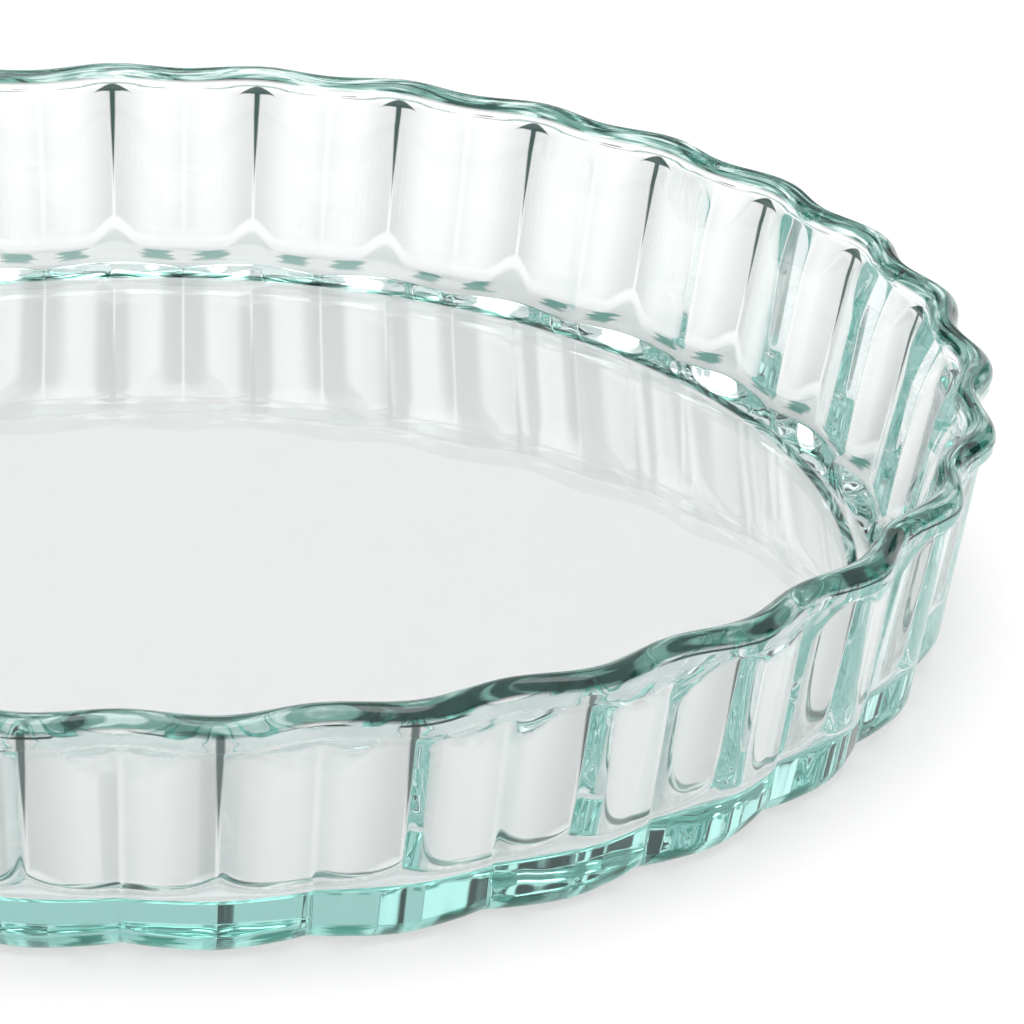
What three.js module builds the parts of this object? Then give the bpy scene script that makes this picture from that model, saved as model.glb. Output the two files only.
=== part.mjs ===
// Round fluted baking dish, pressed in one piece from pale green glass.
// Millimetres, +Z up. The origin is the centre of the underside, on the surface the dish stands on.
import * as THREE from 'three';

// Driving dimensions
const rimDiameter = 280; // across the outward bulges of the rim
const dishHeight = 41.5;
const fluteCount = 30;
const outerFlare = 8; // degrees that the outside of the wall leans out from upright
const innerFlare = 11.5; // degrees that the inside leans out, so the glass thins towards the rim
const wallThickness = 6.4; // level, at the floor, where an inner groove faces the crest of an outer lobe
const baseThickness = 5;
const lobeDepth = 2.7; // from the crest of an outer lobe in to the crease beside it
const panelDepth = 3; // from an inner groove in to the middle of the panel beside it
const outerWaveDepth = 3; // on the rim's outside, from a bulge in to the notch beside it
const innerWaveDepth = 2; // the same on the rim's inside
const rimWidth = 5.6; // across the rounded top of the rim
const collarHeight = 5; // from the top of the rim down to the step under its collar
const collarStep = 1.6; // how far the collar stands out past the lobes
const innerBandDepth = 4; // from the top of the rim down to the end of the plain band inside
const panelShoulder = 3; // height over which the panels rise out of the plain band
const grooveRunOut = 3; // height over which the grooves end above the cove
const heelRadius = 4; // round between the underside and the outer wall
const coveRadius = 8; // round between the floor and the inner wall

// How full the lobes and panels are: higher is flatter with narrower creases
const fluteFullness = 2.5;

// Fineness of the faceted surface
const stepsPerFlute = 8;
const cornerSteps = 3;
const rimSteps = 6;

const glassColour = 0xcfe4dd;
const glassRoughness = 0.05;

const outerLean = THREE.MathUtils.degToRad(outerFlare);
const innerLean = THREE.MathUtils.degToRad(innerFlare);
const rimRadius = rimDiameter / 2;
const rimRound = rimWidth / 2;
const rimLevel = dishHeight - rimRound;
const stepLevel = dishHeight - collarHeight;

// Radius at a height: on the collar's side, on a lobe's crest, in an inner groove and on a panel's middle
const collarRadius = (height) => rimRadius - (rimLevel - height) * Math.tan(outerLean);
const crestRadius = (height) => collarRadius(height) - collarStep;
const grooveFoot = crestRadius(baseThickness) - wallThickness;
const grooveRadius = (height) => grooveFoot + (height - baseThickness) * Math.tan(innerLean);
const panelRadius = (height) => grooveRadius(height) - panelDepth;

// Flute shapes, from 0 at a lobe's crest to 1 at the crease half a flute away
const plain = () => 0;
const lobe = (offset) => offset ** fluteFullness;
const rimWave = (offset) => (1 - Math.cos(Math.PI * offset)) / 2;
const panel = (offset) => 1 - (1 - offset) ** fluteFullness;

// One ring of the surface: its radius at a lobe's crest, and how far its flutes reach in from there
function ring(radius, height, shape = plain, depth = 0) {
  return { radius, height, shape, depth };
}

// Rings round the corner between a level face and a leaning wall, from the face up to the wall
function corner(roundRadius, faceLevel, wallRadius, lean, shape, depth) {
  const wallLevel = faceLevel + roundRadius * (1 - Math.sin(lean));
  const centre = wallRadius(wallLevel) - roundRadius * Math.cos(lean);
  const rings = [];
  for (let i = 0; i <= cornerSteps; i += 1) {
    const turn = (i / cornerSteps) * (Math.PI / 2 - lean);
    const radius = centre + roundRadius * Math.sin(turn);
    const height = faceLevel + roundRadius * (1 - Math.cos(turn));
    rings.push(ring(radius, height, shape, depth));
  }
  return rings;
}

// Rings over the rounded top of the rim, from its outer side over to its inner side
function rimTop() {
  const rings = [];
  for (let i = 0; i <= rimSteps; i += 1) {
    const turn = (i / rimSteps) * Math.PI;
    const across = (1 - Math.cos(turn)) / 2;
    const radius = rimRadius - rimWidth * across;
    const height = rimLevel + rimRound * Math.sin(turn);
    const depth = THREE.MathUtils.lerp(outerWaveDepth, innerWaveDepth, across);
    rings.push(ring(radius, height, rimWave, depth));
  }
  return rings;
}

// All rings in order: underside, heel, outer wall, collar, rim, inner wall, cove and floor
function dishRings() {
  const bandLevel = dishHeight - innerBandDepth;
  const panelTop = bandLevel - panelShoulder;
  const heel = corner(heelRadius, 0, crestRadius, outerLean, lobe, lobeDepth);
  const cove = corner(coveRadius, baseThickness, panelRadius, innerLean, plain, 0);
  const grooveEnd = cove[cornerSteps].height + grooveRunOut;
  return [
    ring(0, 0),
    ...heel,
    ring(crestRadius(stepLevel), stepLevel, lobe, lobeDepth),
    ring(collarRadius(stepLevel), stepLevel, rimWave, outerWaveDepth),
    ...rimTop(),
    ring(grooveRadius(bandLevel), bandLevel, rimWave, innerWaveDepth),
    ring(grooveRadius(panelTop), panelTop, panel, panelDepth),
    ring(grooveRadius(grooveEnd), grooveEnd, panel, panelDepth),
    ...cove.reverse(),
    ring(0, baseThickness),
  ];
}

// A turned solid whose rings are drawn in by the flutes
function flutedSolid(rings) {
  const steps = fluteCount * stepsPerFlute;
  const profile = rings.map(({ radius, height }) => new THREE.Vector2(radius, height));
  const geometry = new THREE.LatheGeometry(profile, steps);
  const position = geometry.attributes.position;
  for (let i = 0; i < position.count; i += 1) {
    const { radius, height, shape, depth } = rings[i % rings.length];
    const step = Math.floor(i / rings.length) % steps;
    const share = (step % stepsPerFlute) / stepsPerFlute;
    const offset = 2 * Math.min(share, 1 - share);
    const reach = radius - depth * shape(offset);
    const turn = (step / steps) * 2 * Math.PI;
    position.setXYZ(i, reach * Math.sin(turn), -reach * Math.cos(turn), height);
  }
  geometry.computeVertexNormals();
  return geometry;
}

const glass = new THREE.MeshStandardMaterial({
  color: glassColour,
  roughness: glassRoughness,
  metalness: 0,
});

const dish = new THREE.Mesh(flutedSolid(dishRings()), glass);
dish.name = 'dish';

const bakingDish = new THREE.Group();
bakingDish.add(dish);

export default bakingDish;
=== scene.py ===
# %% [markdown]
# # A round glass baking dish
# This lesson dresses one pressed glass dish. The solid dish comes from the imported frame, and it is plain
# and faceted. Glass shows every facet, because it bends light at each surface, so a fine smooth mesh takes
# its place here. The first half of the lesson shapes that mesh, and the rest is its glass, its light and
# its camera.

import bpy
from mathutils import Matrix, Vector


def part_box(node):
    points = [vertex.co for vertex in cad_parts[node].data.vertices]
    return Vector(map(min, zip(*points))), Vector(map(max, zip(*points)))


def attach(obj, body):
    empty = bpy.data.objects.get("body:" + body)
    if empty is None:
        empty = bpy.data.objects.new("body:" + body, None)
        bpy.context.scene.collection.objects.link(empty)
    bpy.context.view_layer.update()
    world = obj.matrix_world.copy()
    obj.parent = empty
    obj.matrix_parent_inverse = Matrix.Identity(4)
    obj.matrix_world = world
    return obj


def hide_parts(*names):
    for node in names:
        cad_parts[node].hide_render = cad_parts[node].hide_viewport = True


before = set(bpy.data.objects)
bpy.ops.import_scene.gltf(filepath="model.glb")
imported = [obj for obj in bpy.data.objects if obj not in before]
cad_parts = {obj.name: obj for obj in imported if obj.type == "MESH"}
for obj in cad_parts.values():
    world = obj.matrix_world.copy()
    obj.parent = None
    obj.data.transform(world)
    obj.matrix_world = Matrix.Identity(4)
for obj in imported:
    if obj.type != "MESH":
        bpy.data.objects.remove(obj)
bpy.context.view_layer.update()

# %% [markdown]
# ## Sizes of the dish
# The height and the rim are read from the frame. The collar, the heel, the base and the outer lean repeat
# the solid's sizes. The inside leans and thickens a little more than the solid's, for the look of the
# glass. All are in millimetres, because that is how a glass maker writes them, and one factor turns them
# into metres.

# %% Sizes
import math

import bpy
import numpy as np
from mathutils import Matrix, Vector

MM = 0.001
dish_low, dish_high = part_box("dish")
HEIGHT = (dish_high.z - dish_low.z) / MM
RIM_RADIUS = (dish_high.y - dish_low.y) / 2 / MM
FLUTES = 30
OUTER_FLARE = math.radians(8)
INNER_FLARE = math.radians(12)
WALL = 7.0
BASE = 5.0
COLLAR_HEIGHT = 5.0
COLLAR_STEP = 1.6
COLLAR_WIDTH = 5.6
OUTER_WAVE = 3.0
INNER_WAVE = 2.0
HEEL_ROUND = 4.0
print("rim radius", round(RIM_RADIUS, 2), "mm, height", round(HEIGHT, 2), "mm")

# %% [markdown]
# ## The flutes
# Every ring of the dish is a circle that the flutes draw in and out. A flute runs from the crest of one
# outer lobe to the next, with a crease half way. A circle with even steps would do for a plain bowl. Here
# the columns of the mesh stand closer together at the crest, where the inner groove is, and at the crease,
# because those are the sharpest turns.

# %% Columns round the dish
COLUMNS_PER_FLUTE = 48
CROWDING = 0.55

share = np.arange(COLUMNS_PER_FLUTE) / COLUMNS_PER_FLUTE
share = share - CROWDING * np.sin(4 * math.pi * share) / (4 * math.pi)
turn = np.concatenate([(flute + share) for flute in range(FLUTES)]) * 2 * math.pi / FLUTES
offset = np.tile(2 * np.minimum(share, 1 - share), FLUTES)
wave = (1 - np.cos(math.pi * offset)) / 2
print(len(turn), "columns")

# %% [markdown]
# ## Soft corners
# Pressed glass has no sharp corners, because the hot glass draws together. A bevel would need an edge to
# work on, and this mesh is worked out as heights and distances. So these helpers round off a step, a corner
# or a crossing while the shape is still a sum.


# %% Soft corners
def smooth_step(low, high, value):
    """0 below low, 1 above high, with a soft ramp between."""
    x = np.clip((value - low) / (high - low), 0, 1)
    return x * x * (3 - 2 * x)


def soft_positive(value, soft):
    """The value where it is positive and 0 where it is negative, with a rounded corner between."""
    return (value + np.sqrt(value * value + soft * soft)) / 2


def soft_least(first, second, soft):
    """The lesser of two values, with the corner where they cross filled by a small round."""
    near = np.maximum(soft - np.abs(first - second), 0) / soft
    return np.minimum(first, second) - near * near * soft / 4


def pillow(depth_in, rise, round_radius, soft):
    """Height of a pillow at a distance inside its border: an arc from the border up to a flat top."""
    reach = np.sqrt(round_radius ** 2 - (round_radius - rise) ** 2)
    to_top = np.maximum(reach - soft_positive(depth_in, soft), 0)
    return np.maximum(rise - round_radius + np.sqrt(round_radius ** 2 - to_top ** 2), 0)


# %% [markdown]
# ## The outside of the wall
# Outside, the wall is a ring of broad lobes that meet in creases. Steep sides would turn light back inside
# the glass and show as dark columns, so a lobe is a gentle wave with a large round taken off beside the
# crease.

# %% Outer wall
LOBE_WAVE = 1.8
LOBE_EDGE = 0.8
LOBE_ROUND = 16.0
CREASE_SOFT = 0.4
CREASE_END = 4.0
STEP_LEVEL = HEIGHT - COLLAR_HEIGHT
COLLAR_ROUND = COLLAR_WIDTH / 2
COLLAR_SIDE_LEVEL = HEIGHT - COLLAR_ROUND


def collar_radius(height):
    """Crest radius on the collar's upright side, which leans as the wall does."""
    return RIM_RADIUS - (COLLAR_SIDE_LEVEL - height) * math.tan(OUTER_FLARE)


def crest_radius(height):
    """Radius on the crest of an outer lobe."""
    return collar_radius(height) - COLLAR_STEP


def half_pitch(radius):
    """Distance from a lobe's crest to its crease, along the ring."""
    return math.pi * radius / FLUTES


def lobes(height):
    """How far the lobes fall in from the crest, for each column. The crease ends below the collar."""
    past_end = max(height - (STEP_LEVEL - CREASE_END), 0)
    from_crease = np.hypot((1 - offset) * half_pitch(crest_radius(height)), past_end)
    return LOBE_WAVE * wave + LOBE_EDGE - pillow(from_crease, LOBE_EDGE, LOBE_ROUND, CREASE_SOFT)


print("lobes fall in by", round(float(lobes(STEP_LEVEL / 2).max()), 2), "mm half way up")

# %% [markdown]
# ## Rows of the heel and the outer wall
# The mesh is a stack of rings from the underside up. The heel is a round between the flat underside and the
# wall, and it takes the lobes with it. Under the base the rings go over from lobed to round, which keeps the
# faces there even.

# %% Heel and outer wall
HEEL_ROWS = 12
WALL_ROWS = 40
FLAT_INSETS = (0.5, 0.93, 0.97)
FLUTES_FADE = 0.9

rows = []


def add_row(radius, height):
    """Adds one ring: a radius for each column, and a height that may be one number for all."""
    rows.append((np.broadcast_to(radius, turn.shape), np.broadcast_to(height, turn.shape)))


heel_level = HEEL_ROUND * (1 - math.sin(OUTER_FLARE))
heel_centre = crest_radius(heel_level) - HEEL_ROUND * math.cos(OUTER_FLARE)
for inset in FLAT_INSETS:
    add_row(heel_centre * inset - lobes(0) * smooth_step(FLUTES_FADE, 1, inset), 0)
for i in range(HEEL_ROWS + 1):
    angle = (math.pi / 2 - OUTER_FLARE) * i / HEEL_ROWS
    level = HEEL_ROUND * (1 - math.cos(angle))
    add_row(heel_centre + HEEL_ROUND * math.sin(angle) - lobes(level), level)
for i in range(1, WALL_ROWS + 1):
    level = heel_level + (STEP_LEVEL - heel_level) * i / WALL_ROWS
    add_row(crest_radius(level) - lobes(level), level)
print("outer wall:", len(rows), "rows")

# %% [markdown]
# ## The collar and the rim
# The top of the wall is a plain collar. A small step marks where it stands out past the lobes, and its top
# is a full round. The rim waves in and out with the flutes, more on its outer side than on its inner one. A
# bevel could round the edge of a wall, but rows of the same rings keep the rim's wave and its round exact.

# %% Rim
STEP_ROWS = 4
COLLAR_ROWS = 5
RIM_ROWS = 36
STEP_RISE = 0.5

for i in range(1, STEP_ROWS + 1):
    part = i / STEP_ROWS
    level = STEP_LEVEL + STEP_RISE * part
    below = crest_radius(STEP_LEVEL) - lobes(STEP_LEVEL)
    above = collar_radius(level) - OUTER_WAVE * wave
    add_row(below + (above - below) * smooth_step(0, 1, part), level)
for i in range(1, COLLAR_ROWS + 1):
    level = STEP_LEVEL + STEP_RISE + (COLLAR_SIDE_LEVEL - STEP_LEVEL - STEP_RISE) * i / COLLAR_ROWS
    add_row(collar_radius(level) - OUTER_WAVE * wave, level)
rim_outside = RIM_RADIUS - OUTER_WAVE * wave
rim_inside = RIM_RADIUS - COLLAR_WIDTH - INNER_WAVE * wave
for i in range(1, RIM_ROWS + 1):
    angle = math.pi * i / RIM_ROWS
    middle = (rim_outside + rim_inside) / 2
    reach = (rim_outside - rim_inside) / 2
    add_row(middle + reach * math.cos(angle), COLLAR_SIDE_LEVEL + COLLAR_ROUND * math.sin(angle))
print("with rim:", len(rows), "rows")

# %% [markdown]
# ## The inside of the wall
# Inside, each panel is a pillow with round top corners, and the grooves are what is left between two
# panels. The grooves could be cut out with booleans, but that leaves rough edges in glass. So the shape is
# worked out from the distance to the panel's outline: the pillow rises in a shallow arc from its outline
# and is flat further in. Below the panels the wall comes in to meet the cove.

# %% Inner wall
PANEL_TOP = HEIGHT - 3.6
PANEL_RISE = 2.5
PANEL_TOP_EDGE = math.radians(30)
PANEL_BOTTOM_EDGE = math.radians(28)
PANEL_CORNER = 5.0
GROOVE_SOFT = 0.5
COVE_SLOPE = math.radians(60)
COVE_ROUND = 14.0
COVE_REACH = 116.0
COVE_FILLET = 0.6


def groove_radius(height):
    """Radius at the bottom of an inner groove."""
    return crest_radius(BASE) - WALL + (height - BASE) * math.tan(INNER_FLARE)


def panel_depth_in(height):
    """Distance of each column's point inside the panel's outline, which has round top corners."""
    half = half_pitch(groove_radius(height))
    across = (1 - offset) * half - (half - PANEL_CORNER)
    along = height - (PANEL_TOP - PANEL_CORNER)
    outside = np.hypot(np.maximum(across, 0), max(along, 0))
    return PANEL_CORNER - outside - np.minimum(np.maximum(across, along), 0)


def cove_radius(height):
    """Radius of the cove: an arc up from the floor, then a straight slope."""
    arc_rise = COVE_ROUND * (1 - math.cos(COVE_SLOPE))
    arc_reach = COVE_ROUND * math.sin(COVE_SLOPE)
    if height < BASE + arc_rise:
        return COVE_REACH + math.sqrt(COVE_ROUND ** 2 - (BASE + COVE_ROUND - height) ** 2)
    return COVE_REACH + arc_reach + (height - BASE - arc_rise) / math.tan(COVE_SLOPE)


def inner_wall(height):
    """Radius of the inner wall for each column at a height."""
    edge = np.interp(height, (BASE, PANEL_TOP), (PANEL_BOTTOM_EDGE, PANEL_TOP_EDGE))
    shoulder = PANEL_RISE / (1 - math.cos(edge))
    wall = groove_radius(height) - pillow(panel_depth_in(height), PANEL_RISE, shoulder, GROOVE_SOFT)
    return soft_least(wall, cove_radius(height), COVE_FILLET)


print("inner wall stands at", round(float(inner_wall(PANEL_TOP / 2).min()), 1), "mm on a panel half way up")

# %% [markdown]
# ## Rows of the inner wall
# The rings go on from the rim down the inside. A plain band under the rim leads from the rim's wave into
# the panels, so the two shapes are blended there.

# %% Inner wall rows
COVE_ROWS_TOP = BASE + 1.2
BAND_LEVEL = PANEL_TOP + 0.2
INNER_ROWS = 84

for i in range(1, INNER_ROWS + 1):
    level = COLLAR_SIDE_LEVEL + (COVE_ROWS_TOP - COLLAR_SIDE_LEVEL) * i / INNER_ROWS
    at_rim = smooth_step(BAND_LEVEL, COLLAR_SIDE_LEVEL, level)
    add_row(inner_wall(level) * (1 - at_rim) + rim_inside * at_rim, level)
print("with inner wall:", len(rows), "rows")

# %% [markdown]
# ## The cove and the floor
# A round cove leads the wall into the flat floor, so that food comes away from the corner. The wall's own
# function already holds the cove, so only its rows are added here. They crowd towards the floor, where the
# round runs out flat.

# %% Cove and floor
COVE_ROWS = 12

for i in range(1, COVE_ROWS + 1):
    level = BASE + (COVE_ROWS_TOP - BASE) * (1 - i / COVE_ROWS) ** 2
    add_row(inner_wall(level), level)
for inset in reversed(FLAT_INSETS):
    add_row(COVE_REACH * inset, BASE)
print("whole profile:", len(rows), "rows")


# %% [markdown]
# ## Join the rings into a mesh
# Each ring is joined to the next by four-sided faces. Two single points close the underside and the floor.
# A screw modifier could turn one profile, but it can't move the profile in and out with the flutes.

# %% Build the mesh
def glass_mesh(name):
    """Joins the rows into one closed mesh."""
    columns = len(turn)
    radius = np.array([row[0] for row in rows]) * MM
    height = np.array([row[1] for row in rows]) * MM
    points = np.stack([radius * np.sin(turn), -radius * np.cos(turn), height], axis=-1).reshape(-1, 3)
    points = np.vstack([points, [[0, 0, 0], [0, 0, BASE * MM]]])
    this = np.arange(columns)
    next_one = (this + 1) % columns
    faces = []
    for row in range(len(rows) - 1):
        low = row * columns
        high = low + columns
        quad = np.stack([low + this, low + next_one, high + next_one, high + this], axis=-1)
        faces.extend(quad.tolist())
    under, floor = len(points) - 2, len(points) - 1
    last = (len(rows) - 1) * columns
    faces.extend(np.stack([np.full(columns, under), next_one, this], axis=-1).tolist())
    faces.extend(np.stack([last + this, last + next_one, np.full(columns, floor)], axis=-1).tolist())
    mesh = bpy.data.meshes.new(name)
    mesh.from_pydata(points.tolist(), [], faces)
    mesh.polygons.foreach_set("use_smooth", [True] * len(mesh.polygons))
    mesh.update()
    return mesh


dish = bpy.data.objects.new("glass_dish", glass_mesh("glass_dish"))
bpy.context.collection.objects.link(dish)
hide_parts("dish")
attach(dish, "root")
print(dish.name, len(dish.data.vertices), "points")

# %% [markdown]
# ## Small helpers for node trees
# The glass, the floor and the studio light are all worked out with nodes. They could be joined by hand in
# the shader editor. These helpers add one step each and take either a value or another step's result, so
# that a whole tree reads like a few lines of sums.


# %% Node helpers
def link(tree, source, target):
    """Joins two sockets of one node tree."""
    tree.links.new(source, target)


def fill(tree, socket, value):
    """Sets a socket to a number or a colour, or joins it to another step's result."""
    if isinstance(value, (int, float, tuple)):
        socket.default_value = value
    else:
        link(tree, value, socket)


def add_math(tree, operation, first, second=0.0):
    """Adds a sum, product or other step on two values, and gives its result."""
    step = tree.nodes.new("ShaderNodeMath")
    step.operation = operation
    fill(tree, step.inputs[0], first)
    fill(tree, step.inputs[1], second)
    return step.outputs[0]


def add_product(tree, first, *others):
    """Multiplies several values, and gives the result."""
    product = first
    for other in others:
        product = add_math(tree, "MULTIPLY", product, other)
    return product


def add_blend(tree, kind, share, first, second):
    """Blends two values of one kind, and gives the result."""
    blend = tree.nodes.new("ShaderNodeMix")
    blend.data_type = kind
    fill(tree, blend.inputs["Factor"], share)
    fill(tree, blend.inputs["A"], first)
    fill(tree, blend.inputs["B"], second)
    return blend.outputs["Result"]


def add_mix(tree, share, first, second):
    """Blends two numbers, and gives the result."""
    return add_blend(tree, "FLOAT", share, first, second)


def add_tint(tree, share, first, second):
    """Blends two colours, and gives the result."""
    return add_blend(tree, "RGBA", share, first, second)


def add_ramp(tree, value, low, high):
    """Adds a soft ramp from 0 at low to 1 at high, which may be the lesser, and gives its result."""
    ramp = tree.nodes.new("ShaderNodeMapRange")
    ramp.interpolation_type = "SMOOTHSTEP"
    ramp.inputs["From Min"].default_value = low
    ramp.inputs["From Max"].default_value = high
    link(tree, value, ramp.inputs["Value"])
    return ramp.outputs["Result"]


# %% [markdown]
# ## The glass
# Kitchen glass holds a trace of iron, which takes out a little red light. Through a few millimetres nothing
# shows, but light that has run along the wall comes out of the rim and the heel dark green. A tinted
# surface would be green everywhere, so the green is in the volume, where it grows with the way through the
# glass.

# %% Glass material
GLASS_IOR = 1.52
IRON_COLOUR = (0.0, 0.64, 0.56, 1.0)
IRON_DENSITY = 3.8

glass = bpy.data.materials.new("pale_green_glass")
glass.use_nodes = True
tree = glass.node_tree
shader = tree.nodes["Principled BSDF"]
shader.inputs["Roughness"].default_value = 0.0
shader.inputs["IOR"].default_value = GLASS_IOR
shader.inputs["Transmission Weight"].default_value = 1.0
iron = tree.nodes.new("ShaderNodeVolumeAbsorption")
iron.inputs["Color"].default_value = IRON_COLOUR
iron.inputs["Density"].default_value = IRON_DENSITY
link(tree, iron.outputs["Volume"], tree.nodes["Material Output"].inputs["Volume"])
dish.data.materials.append(glass)
print(glass.name, "has", len(tree.nodes), "nodes")

# %% [markdown]
# ## Where a point lies on the dish
# What glass shows depends on the whole room round it, and this room is a simple one. So the surface also
# carries painted light and shade, where the real dish shows dark lines, soft greys and green patches from the
# way its glass bends light. They could be painted on a picture, but marks that are worked out from the place
# stay sharp at any size. The object's own coordinates give a point's height, its distance from the axis and
# its turn, and the turn gives the way to the next groove.

# %% Place on the glass
INNER_SIDE = 3.0
INNER_SIDE_SOFT = 0.5

place = tree.nodes.new("ShaderNodeTexCoord")
place_parts = tree.nodes.new("ShaderNodeSeparateXYZ")
link(tree, place.outputs["Object"], place_parts.inputs[0])
at_x, at_y = place_parts.outputs["X"], place_parts.outputs["Y"]
tall = add_math(tree, "MULTIPLY", place_parts.outputs["Z"], 1 / MM)
square_sum = add_math(tree, "ADD", add_product(tree, at_x, at_x), add_product(tree, at_y, at_y))
far_out = add_math(tree, "MULTIPLY", add_math(tree, "SQRT", square_sum), 1 / MM)
round_turn = add_math(tree, "ARCTAN2", at_x, add_math(tree, "MULTIPLY", at_y, -1.0))
flute_turn = add_math(tree, "MULTIPLY", round_turn, FLUTES / (2 * math.pi))
groove_turn = add_math(tree, "PINGPONG", flute_turn, 0.5)
from_groove = add_math(tree, "MULTIPLY", groove_turn, 2 * half_pitch(RIM_RADIUS))
from_crease = add_math(tree, "SUBTRACT", half_pitch(RIM_RADIUS), from_groove)
upright = add_math(tree, "SUBTRACT", far_out, add_math(tree, "MULTIPLY", tall, math.tan(OUTER_FLARE)))
from_crest = add_math(tree, "SUBTRACT", crest_radius(0), upright)
inner_side = add_ramp(tree, from_crest, INNER_SIDE, INNER_SIDE + INNER_SIDE_SOFT)
outer_side = add_ramp(tree, inner_side, 1.0, 0.0)
print(len(tree.nodes), "nodes with the place on the glass")

# %% [markdown]
# ## Painted green streaks on the rim
# Light that has run up through the wall leaves at the rim, which shows dark and pale green streaks along
# its waves. Here they are painted light and shade, a noise stretched along the rim. The noise is laid out on
# a circle, because one along the turn itself would show a seam where the turn jumps. The shader takes the
# root of its base colour at each surface, so the painted colours look lighter than these numbers.

# %% Rim streaks, painted light and shade
RIM_STREAKS_FROM = HEIGHT - 2.4
RIM_STREAKS_FULL = HEIGHT - 1.6
STREAK_LENGTH = 16.0
STREAK_WIDTH = 1.8
STREAK_DETAIL = 2.0
STREAK_BEND = 1.4
PAINTED_DEEP_SHADE = (0.0002, 0.006, 0.004, 1.0)
PAINTED_MID_SHADE = (0.04, 0.17, 0.13, 1.0)
PAINTED_PALE_LIGHT = (0.42, 0.70, 0.63, 1.0)
CLEAR = (1.0, 1.0, 1.0, 1.0)
DEEP_TO_MID = (0.40, 0.49)
MID_TO_PALE = (0.53, 0.59)
PALE_TO_CLEAR = (0.62, 0.67)

flute_wave = add_math(tree, "COSINE", add_math(tree, "MULTIPLY", flute_turn, 2 * math.pi))
rim_way = add_math(tree, "SUBTRACT", far_out, add_math(tree, "MULTIPLY", flute_wave, OUTER_WAVE / 2))
across_rim = add_math(tree, "ADD", rim_way, tall)
circle = RIM_RADIUS / STREAK_LENGTH
streak_place = tree.nodes.new("ShaderNodeCombineXYZ")
fill(tree, streak_place.inputs["X"], add_product(tree, add_math(tree, "SINE", round_turn), circle))
fill(tree, streak_place.inputs["Y"], add_product(tree, add_math(tree, "COSINE", round_turn), circle))
fill(tree, streak_place.inputs["Z"], add_product(tree, across_rim, 1 / STREAK_WIDTH))
streaks = tree.nodes.new("ShaderNodeTexNoise")
streaks.inputs["Scale"].default_value = 1.0
streaks.inputs["Detail"].default_value = STREAK_DETAIL
streaks.inputs["Distortion"].default_value = STREAK_BEND
link(tree, streak_place.outputs[0], streaks.inputs["Vector"])
streak = streaks.outputs["Fac"]
# Painted light and shade: the streaks run from deep green shade through pale green light to clear glass.
painted_rim_streaks = add_tint(tree, add_ramp(tree, streak, *DEEP_TO_MID), PAINTED_DEEP_SHADE, PAINTED_MID_SHADE)
painted_rim_streaks = add_tint(tree, add_ramp(tree, streak, *MID_TO_PALE), painted_rim_streaks, PAINTED_PALE_LIGHT)
painted_rim_streaks = add_tint(tree, add_ramp(tree, streak, *PALE_TO_CLEAR), painted_rim_streaks, CLEAR)
on_rim = add_ramp(tree, tall, RIM_STREAKS_FROM, RIM_STREAKS_FULL)
# All painted light and shade is gathered in one colour, from here on to the shader's base colour.
painted_light_and_shade = add_tint(tree, on_rim, CLEAR, painted_rim_streaks)
print(len(tree.nodes), "nodes with the rim's streaks")

# %% [markdown]
# ## Shade on the inner panels
# A panel is brightest in its middle and greyer towards the grooves beside it, where the glass bends darker
# parts of the room into view. Deeper grooves would give that by themselves, but on the near wall they turn
# into green columns. So the grooves are shallow, and a grey by the distance from the groove does the rest.
# It starts above the panel's foot, which is higher at the grooves.

# %% Panel shade
PANEL_SHADE = (0.92, 0.935, 0.93, 1.0)
GROOVE_SHADE = (0.55, 0.57, 0.565, 1.0)
GROOVE_SHADE_REACH = 9.0
GROOVE_SHADE_FULL = 0.4
GROOVE_LIGHT = (0.1, 0.5)
FOOT_AT_PANEL = 8.6
FOOT_AT_GROOVE = 11.6
FOOT_CURVE = 6.0
FOOT_LIGHT = 1.3
FOOT_SOFT = 1.2
PANEL_TOP_SOFT = 0.6

foot = add_mix(tree, add_ramp(tree, from_groove, 0.0, FOOT_CURVE), FOOT_AT_GROOVE, FOOT_AT_PANEL)
above_foot = add_math(tree, "SUBTRACT", tall, foot)
past_foot = add_ramp(tree, above_foot, FOOT_LIGHT, FOOT_LIGHT + FOOT_SOFT)
below_rim = add_ramp(tree, tall, PANEL_TOP + PANEL_TOP_SOFT, PANEL_TOP - PANEL_TOP_SOFT)
on_panel = add_product(tree, inner_side, past_foot, below_rim)
near_groove = add_ramp(tree, from_groove, GROOVE_SHADE_REACH, GROOVE_SHADE_FULL)
beside_groove = add_product(tree, near_groove, add_ramp(tree, from_groove, *GROOVE_LIGHT))
panel_shade = add_tint(tree, beside_groove, PANEL_SHADE, GROOVE_SHADE)
painted_light_and_shade = add_tint(tree, on_panel, painted_light_and_shade, panel_shade)
print(len(tree.nodes), "nodes with the panels' shade")

# %% [markdown]
# ## Painted shade in the grooves
# The bottom of a groove shows as a nearly black line that widens upwards, and at its top the line opens into
# an arc over the corners of the two panels. Both are painted shade, drawn from the distance to the groove
# and the height.

# %% Groove lines
GROOVE_LINE_SHADE = (0.004, 0.012, 0.010, 1.0)
GROOVE_DARK_REACH = 0.8
GROOVE_DARK_FROM = 10.0
GROOVE_DARK_SOFT = 0.4
ARC_FALL = 0.06
ARC_REACH = 5.0
ARC_THICK = 0.8
ARC_SOFT = 0.25

# Painted shade: a dark line up each groove, and an arc over the top corners of the panels.
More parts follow.
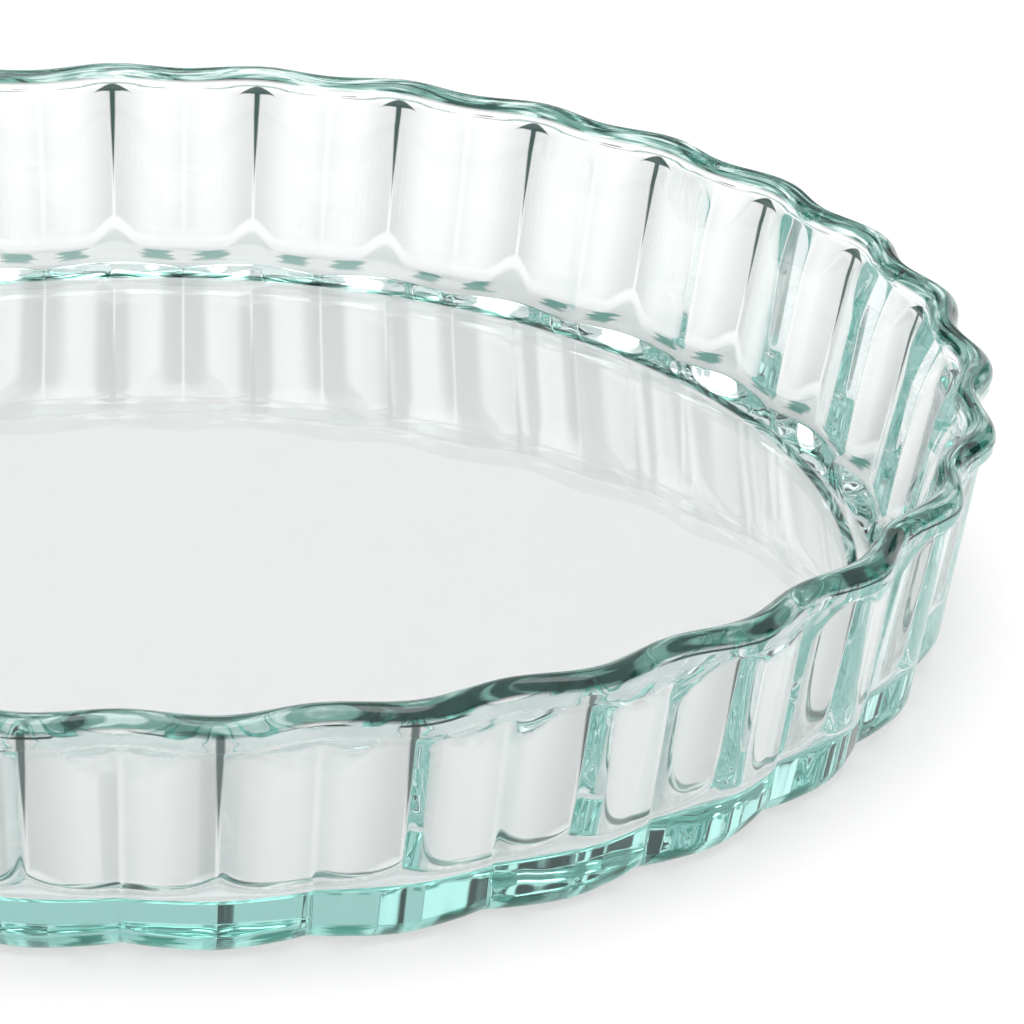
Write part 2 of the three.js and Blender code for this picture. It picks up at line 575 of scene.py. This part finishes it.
dark_reach = add_product(tree, add_ramp(tree, tall, GROOVE_DARK_FROM, PANEL_TOP), GROOVE_DARK_REACH)
in_line = add_ramp(tree, add_math(tree, "SUBTRACT", dark_reach, from_groove), 0.0, GROOVE_DARK_SOFT)
painted_light_and_shade = add_tint(tree, add_product(tree, on_panel, in_line), painted_light_and_shade, GROOVE_LINE_SHADE)
arc_level = add_math(tree, "SUBTRACT", PANEL_TOP, add_product(tree, from_groove, from_groove, ARC_FALL))
arc_thick = add_product(tree, add_ramp(tree, from_groove, ARC_REACH, 0.0), ARC_THICK)
arc_gap = add_math(tree, "ABSOLUTE", add_math(tree, "SUBTRACT", tall, arc_level))
in_arc = add_ramp(tree, add_math(tree, "SUBTRACT", arc_thick, arc_gap), 0.0, ARC_SOFT)
painted_light_and_shade = add_tint(tree, add_product(tree, inner_side, in_arc), painted_light_and_shade, GROOVE_LINE_SHADE)
print(len(tree.nodes), "nodes with the groove lines")

# %% [markdown]
# ## Shade in the cove
# Where the cove meets the floor, the real dish shows a thin green ring, and above it a grey band up to the
# feet of the panels. Both are painted: the ring takes the rim's painted streaks, because it is the same light
# from deep in the glass, and the band is painted shade.

# %% Cove shade
COVE_SHADE = (0.66, 0.69, 0.68, 1.0)
COVE_SHADE_TOP = (0.2, -1.0)
COVE_SHADE_FOOT = (BASE + 0.4, BASE + 1.4)
RING_FOOT = (BASE + 0.03, BASE + 0.08)
RING_TOP = (BASE + 0.40, BASE + 0.28)

# Painted light and shade: the rim's streaks on the ring, and a painted grey shade on the band above it.
on_ring = add_product(tree, inner_side, add_ramp(tree, tall, *RING_FOOT), add_ramp(tree, tall, *RING_TOP))
painted_light_and_shade = add_tint(tree, on_ring, painted_light_and_shade, painted_rim_streaks)
below_foot = add_ramp(tree, above_foot, *COVE_SHADE_TOP)
on_cove = add_product(tree, inner_side, below_foot, add_ramp(tree, tall, *COVE_SHADE_FOOT))
painted_light_and_shade = add_tint(tree, on_cove, painted_light_and_shade, COVE_SHADE)
print(len(tree.nodes), "nodes with the cove's shade")

# %% [markdown]
# ## Shade beside the creases
# Outside, each lobe darkens a little towards the crease on either side. It is a light grey by the distance
# from the crease, between the heel and the collar.

# %% Crease shade
CREASE_SHADE = (0.86, 0.88, 0.875, 1.0)
CREASE_SHADE_REACH = 4.0
CREASE_SHADE_FULL = 0.8
CREASE_LIGHT = (0.2, 0.8)
LOBE_SHADE_FOOT = (8.0, 11.0)
LOBE_SHADE_TOP = (STEP_LEVEL, STEP_LEVEL - 3.0)

near_crease = add_ramp(tree, from_crease, CREASE_SHADE_REACH, CREASE_SHADE_FULL)
beside_crease = add_product(tree, near_crease, add_ramp(tree, from_crease, *CREASE_LIGHT))
lobe_height = add_product(tree, add_ramp(tree, tall, *LOBE_SHADE_FOOT), add_ramp(tree, tall, *LOBE_SHADE_TOP))
painted_light_and_shade = add_tint(tree, add_product(tree, outer_side, lobe_height, beside_crease), painted_light_and_shade, CREASE_SHADE)
print(len(tree.nodes), "nodes with the creases' shade")

# %% [markdown]
# ## Painted green shade on the heel
# The thick heel gathers light from the whole base, so each lobe shows green patches there. Here they are
# painted shade in deep green. They lie between crest and crease, and the rim's noise shifts their ends a
# little, so that the lobes differ.

# %% Heel shade
HEEL_PATCH_SHADE = (0.04, 0.20, 0.155, 1.0)
HEEL_FROM = 0.5
HEEL_TO = 3.2
HEEL_SOFT = 0.6
HEEL_SHIFT = 0.6
NOISE_MIDDLE = 0.5
PATCH_START = (0.34, 0.48)
PATCH_END = (0.88, 0.76)

shift = add_product(tree, add_math(tree, "SUBTRACT", streak, NOISE_MIDDLE), HEEL_SHIFT)
lobe_way = add_math(tree, "DIVIDE", from_groove, half_pitch(RIM_RADIUS))
heel_way = add_math(tree, "ADD", lobe_way, shift)
patch = add_product(tree, add_ramp(tree, heel_way, *PATCH_START), add_ramp(tree, heel_way, *PATCH_END))
heel_foot = add_ramp(tree, tall, HEEL_FROM, HEEL_FROM + HEEL_SOFT)
heel_top = add_ramp(tree, tall, HEEL_TO + HEEL_SOFT, HEEL_TO)
# Painted shade: deep green patches on the lower heel of each lobe.
painted_light_and_shade = add_tint(tree, add_product(tree, outer_side, heel_foot, heel_top, patch), painted_light_and_shade, HEEL_PATCH_SHADE)
print(len(tree.nodes), "nodes with the heel's patches")

# %% [markdown]
# ## A broken line of painted shade under the rim
# Just under the rim's outer side runs a thin dark line of painted shade, broken where the rim is dark. It is
# a narrow band of height, cut up by the rim's own noise. It is the last painted mark, so the result now goes
# to the shader.

# %% Line under the rim
EDGE_FOOT = (HEIGHT - 2.7, HEIGHT - 2.5)
EDGE_TOP = (HEIGHT - 2.0, HEIGHT - 2.3)
EDGE_BREAKS = (0.46, 0.52)

edge_band = add_product(tree, add_ramp(tree, tall, *EDGE_FOOT), add_ramp(tree, tall, *EDGE_TOP))
# Painted shade: a thin dark line under the rim, broken by the rim's noise.
under_rim_shade = add_product(tree, outer_side, edge_band, add_ramp(tree, streak, *EDGE_BREAKS))
painted_light_and_shade = add_tint(tree, under_rim_shade, painted_light_and_shade, PAINTED_DEEP_SHADE)
link(tree, painted_light_and_shade, shader.inputs["Base Color"])
print(len(tree.nodes), "nodes in the glass")

# %% [markdown]
# ## The floor
# The dish stands on white paper that runs on without an edge. One large plane is enough for that. Paper
# that is only matte would turn grey away from the light, and paper that only glows would have no shadow, so
# it is a mix of the two. The glow counts only where the paper is seen: straight on, in a reflection or
# through the glass. The plane lies a hair below the dish, because glass goes wrong where two faces share a
# level.

# %% Floor
FLOOR_GAP = 0.3
FLOOR_REACH = 20
SHADOW_SHARE = 0.6
PAPER_COLOUR = (0.92, 0.92, 0.92, 1.0)

corner_signs = ((-1, -1), (1, -1), (1, 1), (-1, 1))
floor_corners = [(x * FLOOR_REACH, y * FLOOR_REACH, -FLOOR_GAP * MM) for x, y in corner_signs]
floor_mesh = bpy.data.meshes.new("studio_floor")
floor_mesh.from_pydata(floor_corners, [], [(0, 1, 2, 3)])
studio_floor = bpy.data.objects.new("studio_floor", floor_mesh)
bpy.context.collection.objects.link(studio_floor)

paper = bpy.data.materials.new("white_paper")
paper.use_nodes = True
tree = paper.node_tree
tree.nodes.clear()
paper_out = tree.nodes.new("ShaderNodeOutputMaterial")
matte = tree.nodes.new("ShaderNodeBsdfDiffuse")
matte.inputs["Color"].default_value = PAPER_COLOUR
glow = tree.nodes.new("ShaderNodeEmission")
glow.inputs["Strength"].default_value = 1.0
path = tree.nodes.new("ShaderNodeLightPath")
seen = add_math(tree, "MAXIMUM", path.outputs["Is Camera Ray"], path.outputs["Is Glossy Ray"])
seen = add_math(tree, "MAXIMUM", seen, path.outputs["Is Transmission Ray"])
mix = tree.nodes.new("ShaderNodeMixShader")
fill(tree, mix.inputs["Fac"], add_product(tree, seen, 1 - SHADOW_SHARE))
link(tree, matte.outputs[0], mix.inputs[1])
link(tree, glow.outputs[0], mix.inputs[2])
link(tree, mix.outputs[0], paper_out.inputs["Surface"])
floor_mesh.materials.append(paper)
print(studio_floor.name, FLOOR_GAP, "mm under the dish")

# %% [markdown]
# ## The studio light
# Clear glass is seen only by what stands round it. A photographer sets bright boxes and dark gaps there, so
# that the edges of the glass show against white. Lamps and cards could stand in the scene, but one sky that
# is worked out from the direction needs no objects: a bright top, an even front that is dim near the floor,
# and a rear with a row of boxes and gaps low down.

# %% World
TOP_LEVEL = 4.0
TOP_EDGE = (0.90, 0.95)
FRONT_LEVEL = 1.0
FRONT_LOW_LEVEL = 0.25
FRONT_LOW_EDGE = (0.15, 0.35)
FRONT_EDGE = (0.0, -0.4)
REAR_LEVEL = 0.85
BOX_LEVEL = 1.4
GAP_LEVEL = 0.06
BOXES_ROUND = 14
BOX_TURN = 0.66
BOX_EDGE = 0.7
BAND_TOP = 0.37
BAND_TOP_LEFT = 0.60
BAND_SOFT = 0.03
LEFT_EDGE = (math.radians(-3), math.radians(-9))
RIGHT_EDGE = (math.radians(18), math.radians(24))
MIDDLE_SHARE = 0.75

world = bpy.data.worlds.new("studio")
bpy.context.scene.world = world
world.use_nodes = True
tree = world.node_tree
background = tree.nodes["Background"]
background.inputs["Color"].default_value = (1, 1, 1, 1)
where = tree.nodes.new("ShaderNodeTexCoord")
parts = tree.nodes.new("ShaderNodeSeparateXYZ")
link(tree, where.outputs["Generated"], parts.inputs[0])
azimuth = add_math(tree, "ARCTAN2", parts.outputs["X"], parts.outputs["Y"])
box_phase = add_math(tree, "ADD", add_math(tree, "MULTIPLY", azimuth, BOXES_ROUND), BOX_TURN)
boxes = add_ramp(tree, add_math(tree, "SINE", box_phase), -BOX_EDGE, BOX_EDGE)
at_left = add_ramp(tree, azimuth, *LEFT_EDGE)
at_right = add_ramp(tree, azimuth, *RIGHT_EDGE)
at_side = add_math(tree, "MAXIMUM", add_math(tree, "MAXIMUM", at_left, at_right), MIDDLE_SHARE)
band_top = add_mix(tree, at_left, BAND_TOP, BAND_TOP_LEFT)
above_band = add_math(tree, "SUBTRACT", parts.outputs["Z"], band_top)
in_band = add_product(tree, add_ramp(tree, above_band, BAND_SOFT, -BAND_SOFT), at_side)
rear_light = add_mix(tree, in_band, REAR_LEVEL, add_mix(tree, boxes, GAP_LEVEL, BOX_LEVEL))
front_height = add_ramp(tree, parts.outputs["Z"], *FRONT_LOW_EDGE)
front_light = add_mix(tree, front_height, FRONT_LOW_LEVEL, FRONT_LEVEL)
round_light = add_mix(tree, add_ramp(tree, parts.outputs["Y"], *FRONT_EDGE), rear_light, front_light)
light = add_mix(tree, add_ramp(tree, parts.outputs["Z"], *TOP_EDGE), round_light, TOP_LEVEL)
link(tree, light, background.inputs["Strength"])
print(world.name, "light has", len(tree.nodes), "nodes")

# %% [markdown]
# ## The camera
# The photo looks down on the dish at about 25 degrees through a long lens, and shows the right part of it.
# The camera's distance, angles and lens were fitted to the dish's outlines, so they are odd numbers. It is
# placed by its direction from the dish and then turned, because that is how such a fit describes it.

# %% Camera
CAMERA_DISTANCE = 0.79697
CAMERA_ELEVATION = math.radians(25.532)
CAMERA_AZIMUTH = math.radians(-3.808)
CAMERA_PAN = math.radians(4.789)
CAMERA_TILT = math.radians(24.816)
CAMERA_ROLL = math.radians(2.141)
CAMERA_LENS = 164.0
SENSOR_WIDTH = 36

camera_data = bpy.data.cameras.new("photo_camera")
camera = bpy.data.objects.new("photo_camera", camera_data)
bpy.context.collection.objects.link(camera)
camera_data.sensor_width = SENSOR_WIDTH
camera_data.lens = CAMERA_LENS
camera_reach = CAMERA_DISTANCE * math.cos(CAMERA_ELEVATION)
camera_place = Vector((
    camera_reach * math.sin(CAMERA_AZIMUTH),
    -camera_reach * math.cos(CAMERA_AZIMUTH),
    CAMERA_DISTANCE * math.sin(CAMERA_ELEVATION),
))
camera.matrix_world = (
    Matrix.Translation(camera_place)
    @ Matrix.Rotation(CAMERA_AZIMUTH - CAMERA_PAN, 4, "Z")
    @ Matrix.Rotation(math.pi / 2 - CAMERA_TILT, 4, "X")
    @ Matrix.Rotation(CAMERA_ROLL, 4, "Z")
)
bpy.context.scene.camera = camera
print("camera at", [round(value, 3) for value in camera_place], "m")

# %% [markdown]
# ## Render settings that the glass needs
# Light crosses many surfaces in a fluted wall. With the usual few bounces its way is cut off and the glass
# turns dark, so the limits are raised. The Standard view keeps the white paper white.

# %% Render settings
GLASS_BOUNCES = 64

scene = bpy.context.scene
scene.view_settings.view_transform = "Standard"
scene.cycles.max_bounces = GLASS_BOUNCES
scene.cycles.transmission_bounces = GLASS_BOUNCES
scene.cycles.glossy_bounces = GLASS_BOUNCES
print("up to", scene.cycles.max_bounces, "bounces")
